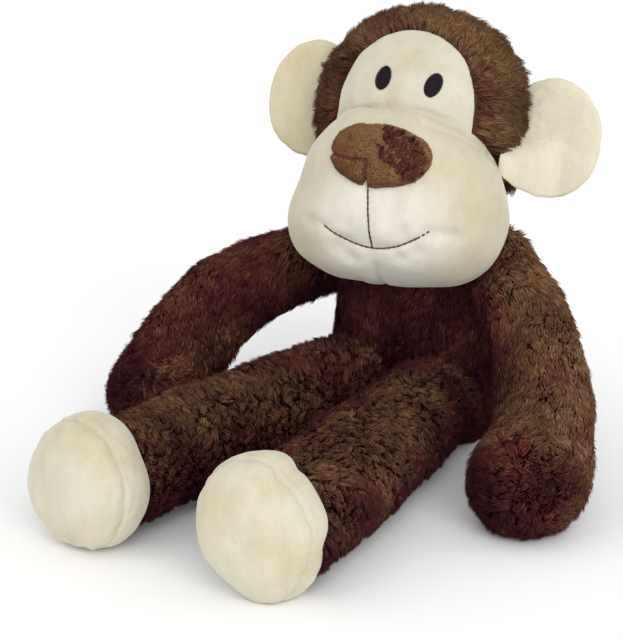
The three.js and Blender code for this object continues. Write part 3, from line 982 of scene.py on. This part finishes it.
def face():
    middle = (0.0, 6.0)
    steps = np.linspace(1, 90, 400)

    def outline(angle):
        x, z = middle[0] + np.cos(angle)[:, None] * steps, middle[1] + np.sin(angle)[:, None] * steps
        return np.where(in_face(x, z, 0) & (z > -34), steps, 0).max(1)

    def skull(by):
        return lambda x, z: skull_front(x, z, by)

    rings, first, last = patch_rings(outline, skull(2.6), skull(1.6), 3.4, 26, 120, middle)
    skin = Skin(rings, first, last)
    x, y, z = skin.verts.T
    puckers = lumps(skin.verts * [1, 0.2, 1], 16, 71)
    over_muzzle = muzzle_front(x, z) - y
    tuck = bell(np.maximum(over_muzzle, 0), 5) * (y < -20)
    skin.moved(0.35 * puckers - 1.6 * tuck)
    depth = front_of(skin)
    piece = skin_piece("face_plush", placed(skin), FACE_CREAM)
    declared(piece, ("face_patch",), "head")
    return depth


def middle_line(z):
    """Where the muzzle's seam and the upright stitches run, across, at a height."""
    return np.interp(z, (-95, -MOUTH["dip"], NOSE["z"] - NOSE["half_height"]), (5.0, 2.0, -4.5))


def smile_height(x):
    share = np.abs(x) / MOUTH["half_width"]
    corner = np.where(x < 0, *MOUTH["corners"])
    return -MOUTH["dip"] + (MOUTH["dip"] - corner) * share ** MOUTH["power"]


def muzzle():
    rings, first, last = egg_rings(
        MUZZLE["radii"], MUZZLE["centre"], 110, 240, muzzle_shares, MUZZLE["square"],
    )
    dip = MOUTH["dip"]

    def held(points):
        x, y, z = points.T
        ahead = y < MUZZLE["centre"][1]
        middle = (np.abs(x - middle_line(z)) < 3) & (z < -dip + 3)
        smile = (np.abs(z - smile_height(x)) < 3) & (np.abs(x) < MOUTH["half_width"] + 2)
        upright = (np.abs(x + 3) < 3) & (z > -dip) & (z < NOSE["z"])
        return (ahead & (middle | smile | upright)) | (y > MUZZLE["centre"][1] + 22) | (z > 10)

    skin = Skin(stuffed(rings, first, last, held, 1.6, slack=0.02), first, last)
    x, _, z = skin.verts.T
    # the chin and the top slope across, and the right cheek is drawn in
    z += x * (0.07 * eased(-z, 50, 90) - 0.06 * eased(z, -40, 5))
    x += 2.0 * eased(-x, 20, 55) * eased(z, -75, -35)
    # the back of the chin is cut off flat, to leave the throat room
    slope = unit(np.cross([1.0, 0, 0], THROAT["neck"] - THROAT["chin"]))
    slope = slope * -np.sign(slope[2])
    over = (skin.verts - THROAT["chin"]) @ slope
    skin.verts = skin.verts - np.maximum(over, 0)[:, None] * slope
    skin.find_normals()
    x, y, z = skin.verts.T
    front = eased(-y, -MUZZLE["centre"][1] - 5, -MUZZLE["centre"][1] + 8)
    from_middle = bell(x - middle_line(z), 1.5)
    seam = from_middle * eased(-z, dip - 1, dip + 2)
    upright = from_middle * eased(z, -dip - 1, -dip + 1) * eased(-z, -NOSE["z"], -NOSE["z"] + 6)
    smile = bell(z - smile_height(x), 1.7) * (1 - eased(np.abs(x), 30, 35))
    groove = np.maximum.reduce([1.1 * seam, 0.9 * upright, 0.9 * smile]) * front
    pucker = lumps(skin.verts * [1, 1, 0.45], 9, 81) * np.exp(-np.abs(x) / 9) * 0.3
    pucker = pucker * eased(-z, dip, dip + 6)
    dents = 0.7 * lumps(skin.verts, 38, 82)
    folds = lumps(skin.verts * [1, 0.5, 2.2], 30, 83) * eased(z, -20, 12) * 0.6
    over_face = skull_front(x, z, 6.0) - y
    tuck = 3.0 * bell(over_face, 3.5) * (z > -10)
    crease = 2.0 * bell(over_face - 15 + 0.12 * x, 2.6) * eased(x, 12, 26) * (z > -18)
    skin.moved(dents + pucker + folds - groove - tuck - crease)
    depth = front_of(skin)
    piece = skin_piece("muzzle_plush", placed(skin), MUZZLE_CREAM)
    nodes = ("muzzle_left_panel", "muzzle_right_panel", "muzzle_filling")
    declared(piece, nodes, "head")
    return depth


def nose(muzzle_depth):
    half = np.array([NOSE["half_width"], NOSE["half_height"]])
    crease_x = -0.18

    def outline(angle):
        reach = 1 / np.sqrt((np.cos(angle) / half[0]) ** 2 + (np.sin(angle) / half[1]) ** 2)
        return reach * (1 + 0.02 * np.sin(3 * angle + 1)) - 2.0 * bell(angle - math.radians(256), 0.09)

    middle = (NOSE["x"], NOSE["z"])
    rings, first, last = patch_rings(
        outline, lambda x, z: muzzle_depth(x, z) - 0.2, lambda x, z: muzzle_depth(x, z) + 2.5, NOSE["rise"],
        40, 160, middle, 2.1,
    )
    skin = Skin(rings, first, last)
    across, up = (skin.verts[:, 0] - middle[0]) / half[0], (skin.verts[:, 2] - middle[1]) / half[1]
    droop = up + 0.1 + 0.12 * np.maximum(crease_x - across, 0)
    level = bell(droop, 0.05) * (1 - eased(across, crease_x - 0.05, crease_x + 0.1))
    upright = bell(across - crease_x + 0.06 * up, 0.035) * (1 - eased(up, -0.1, 0.02))
    crease = np.maximum(level, upright)
    skin.moved(-1.8 * crease + 0.35 * lumps(skin.verts, 14, 91))
    local = skin.verts.copy()
    piece = skin_piece("nose_plush", placed(skin), NOSE_CLOTH)
    declared(piece, ("nose_pad",), "head")

    # the upper left part of the nose is worn to a redder, ruffled pile
    ragged = 0.12 * lumps(local, 7, 94)
    rough = (across > ragged - 0.02) & (up > 0.2 + ragged - 1.1 * across) & (np.hypot(across, up) < 0.93)
    out = unit(np.stack([across + 0.4, np.zeros_like(across), up * 0.6], -1)) @ HEAD_ROTATION.T
    front = (local[:, 1] < muzzle_depth(local[:, 0], local[:, 2]) - 0.1) & (crease <= 0.35)
    for part, here, style, shades, length, tone, olive, seed in (
        ("smooth", front, NOSE_SMOOTH, NOSE_SHADES, 2.0, 0.7, 0.2, 92),
        ("ruffled", front & rough, NOSE_RUFFLED, BODY_SHADES, 3.8, -0.2, -1.8, 93),
    ):
        reach = np.where(here, length, 0)
        for fur in pile(f"nose_{part}_pile", skin, out, reach, style, shades, seed, seed, tone, olive):
            declared(fur, body="head")


def threads(name, runs, radius, material, sides):
    """Thin round threads, each along a run of points, as one piece of closed tubes."""
    verts, quads, tris = [], [], []
    turn = circle(sides)
    for run in runs:
        run = np.asarray(run)
        way = tangents_of(run)
        side = unit(np.cross(way, [0.1, 1, 0.2]))
        rise = np.cross(side, way)
        swell = radius * np.sin(np.linspace(0.35, math.pi - 0.35, len(run))) ** 0.4
        rings = run[:, None] + swell[:, None, None] * (
            np.cos(turn)[None, :, None] * side[:, None] + np.sin(turn)[None, :, None] * rise[:, None]
        )
        one = Skin(rings, run[0] - way[0] * radius * 0.6, run[-1] + way[-1] * radius * 0.6)
        start = sum(len(v) for v in verts)
        verts.append(one.verts)
        quads.append(one.quads + start)
        tris.append(one.tris + start)
    return mesh_piece(name, np.vstack(verts), np.vstack(quads), np.vstack(tris), [material])


def eyes(face_depth):
    rows = 27
    for name, side in SIDES:
        runs = []
        for row in np.linspace(-0.97, 0.97, rows):
            half = EYE["half_width"] * math.sqrt(1 - row * row) + 0.15
            across = np.linspace(-half, half, 9)
            x = EYE["middle"] + side * EYE["x"] + across
            z = EYE["z"] + row * EYE["half_height"] + across * 0.12
            dome = 1.3 * np.sqrt(np.maximum(0, 1 - (across / (half + 0.6)) ** 2)) * (1 - 0.4 * row**2)
            runs.append(from_head(np.stack([x, face_depth(x, z) + 0.1 - dome, z], -1)))
        piece = threads(f"{name}_eye_stitches", runs, 0.34, EYE_THREAD, 6)
        declared(piece, (f"{name}_eye",), body="head")


def stitches(points, sizes_of):
    """Short runs along a line of points; sizes_of(share) is a stitch and the gap after it."""
    length = np.concatenate([[0], np.cumsum(sizes(np.diff(points, axis=0)))])
    runs, at = [], 0.0
    while at < length[-1] - 1:
        stitch, gap = sizes_of(at / length[-1])
        ends = np.linspace(at, min(at + stitch, length[-1]), 7)
        run = np.stack([np.interp(ends, length, points[:, i]) for i in range(3)], -1)
        run[:, 1] += 0.2 * np.abs(np.linspace(-1, 1, 7)) ** 3
        runs.append(from_head(run))
        at += stitch + gap
    return runs


def smile_stitch(share):
    """Close stitches, and short ones set apart at the left end."""
    return (3.4, 0.15) if share < 0.84 else (1.7, 1.5)


def mouth(muzzle_depth):
    across = np.linspace(2 - MOUTH["half_width"], MOUTH["half_width"] + 4.5, 200)
    down = np.linspace(NOSE["z"] - NOSE["half_height"] + 1, -MOUTH["dip"], 60)
    for part, x, z, radius, sizes_of in (
        ("smile", across, smile_height(across), 0.6, smile_stitch),
        ("upright", middle_line(down), down, 0.62, lambda share: (3.4, 0.1)),
    ):
        points = np.stack([x, muzzle_depth(x, z) - 0.25, z], -1)
        piece = threads(f"mouth_{part}_stitches", stitches(points, sizes_of), radius, MOUTH_THREAD, 8)
        declared(piece, (f"mouth_{part}_stitch",), body="head")


EAR_SHIFT = {"left": np.array([4.0, 0, 1.0]), "right": np.array([-3.0, 0, 2.0])}
EAR_WRAP = {"left": 36.0, "right": 0.0}  # how far the foot of an ear's seam comes forward, over the hood


def ears():
    for name, side in SIDES:
        rx, thick, rz = EAR["radii"]
        rx = rx + 1.5 * (side > 0)
        base = EAR["base"] - EAR["centre"][0]
        count, around = 44, 120
        angle = circle(around)
        shares = dome_shares(count)

        def ring(share, face):
            x, z = np.cos(angle) * rx * share, np.sin(angle) * rz * share
            puff = thick * (1 - share**2.2) ** 0.55
            dish = 4.5 * share**2 - 1.5
            return np.stack([x, np.full(around, face * puff - dish), z], -1)

        def held(points):
            return (np.hypot(points[:, 0] / rx, points[:, 2] / rz) > 0.96) | (points[:, 0] < base - 4)

        rings = np.array([ring(share, -1) for share in shares] + [ring(share, 1) for share in shares[-2::-1]])
        first, last = ring(1e-4, -1).mean(0), ring(1e-4, 1).mean(0)
        skin = Skin(stuffed(rings, first, last, held, 1.6, slack=0.02), first, last)
        from_rim = 1 - np.hypot(skin.verts[:, 0] / rx, skin.verts[:, 2] / rz)
        puckers = 0.25 * lumps(skin.verts * [1, 0, 1], 8, 101 + side) * np.exp(-from_rim * 12)
        skin.moved(puckers + 0.6 * lumps(skin.verts, 40, 104))
        x, y, z = skin.verts.T
        np.maximum(x, base - 12, out=x)
        # its top leans back, and the foot of its seam comes forward and up
        y += 0.17 * z
        wrap = EAR_WRAP[name] * eased(-x, -12, 22) * eased(-z, -6, 20)
        y -= wrap
        z += 0.32 * wrap
        skin.verts = (skin.verts + EAR["centre"] + EAR_SHIFT[name]) * [side, 1, 1]
        if side < 0:
            skin.turn_over()
        piece = skin_piece(f"{name}_ear_plush", placed(skin), EAR_CREAM)
        start = from_head((EAR["centre"] + [base - 5, 0, 0]) * [side, 1, 1])
        end = from_head((EAR["centre"] + [base + 7, EAR_WRAP[name] / 3, 0]) * [side, 1, 1])
        blended(piece, "head", f"{name}_ear", start, end)
        declared(piece, (f"{name}_ear_front", f"{name}_ear_back"))


# ---- feet ----
FOOT_BUMPS = {  # how far a foot's outline stands out at an angle from its outer side
    "left": ((8, 0), (28, -2), (64, -3.5), (74, 1.5), (84, 1.5), (127, 1.5), (150, 1), (180, 0), (230, -3.5),
             (260, 0), (296, 3.5), (323, 2.5), (345, 0)),
    "right": ((0, 0), (90, 0), (118, -2), (150, -2.5), (180, 0), (212, 3), (235, 1.5), (270, 0), (330, 0)),
}


def feet():
    wide, deep, tall = FOOT["radii"]
    count, around = 60, 140
    turn = circle(around)
    sweep = np.linspace(0, math.pi * 0.66, count + 1)[1:]
    seam_at = 1.3
    for name, side in SIDES:
        centre, heading = foot_centre(name)
        across = np.array([-heading[1], heading[0], 0.0])
        narrow, shift = (0.9, -8.5) if side > 0 else (1.0, 0.0)
        centre = centre + across * shift * 0.4
        bumps = np.array(FOOT_BUMPS[name])
        bump = 1 + np.interp(np.degrees(turn), bumps[:, 0], bumps[:, 1], period=360) / wide
        bump = between(bump[::4], np.arange(around) / 4, True)
        rings = []
        for bend in sweep:
            ahead = max(0, math.cos(bend)) ** 0.8 + min(0, math.cos(bend))
            out = math.sin(bend) ** 0.82 * bump
            rings.append(
                centre + heading * deep * ahead + across * (0.6 * shift * max(0, math.cos(bend)) ** 0.7)
                + across * (np.cos(turn) * wide * narrow * out)[:, None]
                + np.array([0, 0, 1.0]) * (np.sin(turn) * tall * out)[:, None]
            )
        rings = np.array(rings)

        def held(points):
            ahead = (points - centre) @ heading
            return (np.abs(ahead - deep * math.cos(seam_at) ** 0.8) < 2.4) | (ahead < -deep * 0.3)

        front = centre + heading * deep + across * 0.6 * shift
        back = rings[-1].mean(0) + heading * 4
        skin = Skin(stuffed(rings, front, back, held, 1.7, slack=0.015), front, back, (False, True))
        bend = np.concatenate([[0], np.repeat(sweep, around), [math.pi]])
        ripple = lumps(skin.verts, 9, 111 + side) * np.exp(-np.abs(bend - seam_at) / 0.25)
        dents = 0.6 * lumps(skin.verts, 36, 113 + side)
        skin.moved(-1.4 * bell(bend - seam_at, 0.035) + 0.55 * ripple + dents)
        skin.verts[:, 2] = np.maximum(skin.verts[:, 2], FLOOR + 0.1)
        piece = skin_piece(f"{name}_foot_plush", skin, CREAM)
        nodes = [f"{name}_foot_{part}" for part in ("sole", "band", "filling")]
        declared(piece, nodes, f"{name}_shin")


# ---- camera, floor and lights ----
def looking(name, data, place, back):
    """A camera or a light at a place, facing away from back."""
    holder = bpy.data.objects.new(name, data)
    holder.location = place
    holder.rotation_mode = "QUATERNION"
    holder.rotation_quaternion = (-back).to_track_quat("-Z", "Y")
    bpy.context.scene.collection.objects.link(holder)
    return holder


def studio():
    azimuth, elevation, distance = math.radians(31), math.radians(16), 1.25
    target = Vector((-0.034, -0.082, 0.088))
    level = math.cos(elevation)
    back = Vector((math.sin(azimuth) * level, -math.cos(azimuth) * level, math.sin(elevation)))
    camera_data = bpy.data.cameras.new("camera")
    camera_data.lens = 113.06
    bpy.context.scene.camera = looking("camera", camera_data, target + back * distance, back)

    floor_material, _ = new_material("floor", (0.95, 0.95, 0.95), 0.9, specular_ior_level=0.05)
    size = 40000.0
    corners = np.array([(-size, -size, 0), (size, -size, 0), (size, size, 0), (-size, size, 0)])
    floor = mesh_piece("floor", corners, np.array([[0, 1, 2, 3]]), np.zeros((0, 3), int), [floor_material])

    world = bpy.data.worlds.new("studio")
    bpy.context.scene.world = world
    world.use_nodes = True
    sky = world.node_tree.nodes["Background"]
    sky.inputs["Color"].default_value = (1, 1, 1, 1)
    sky.inputs["Strength"].default_value = 0.82
    for name, toward, spread, strength in (
        ("key", (0.8, -0.85, 0.55), 50, 1.95),
        ("fill", (-0.9, -0.9, 0.4), 70, 0.3),
    ):
        lamp = bpy.data.lights.new(name, "SUN")
        lamp.angle = math.radians(spread)
        lamp.energy = strength
        looking(name, lamp, toward, Vector(toward))
    bpy.context.scene.view_settings.view_transform = "Standard"


studio()
torso()
neck()
arms()
legs()
feet()
hood()
face_depth = face()
muzzle_depth = muzzle()
nose(muzzle_depth)
eyes(face_depth)
mouth(muzzle_depth)
ears()
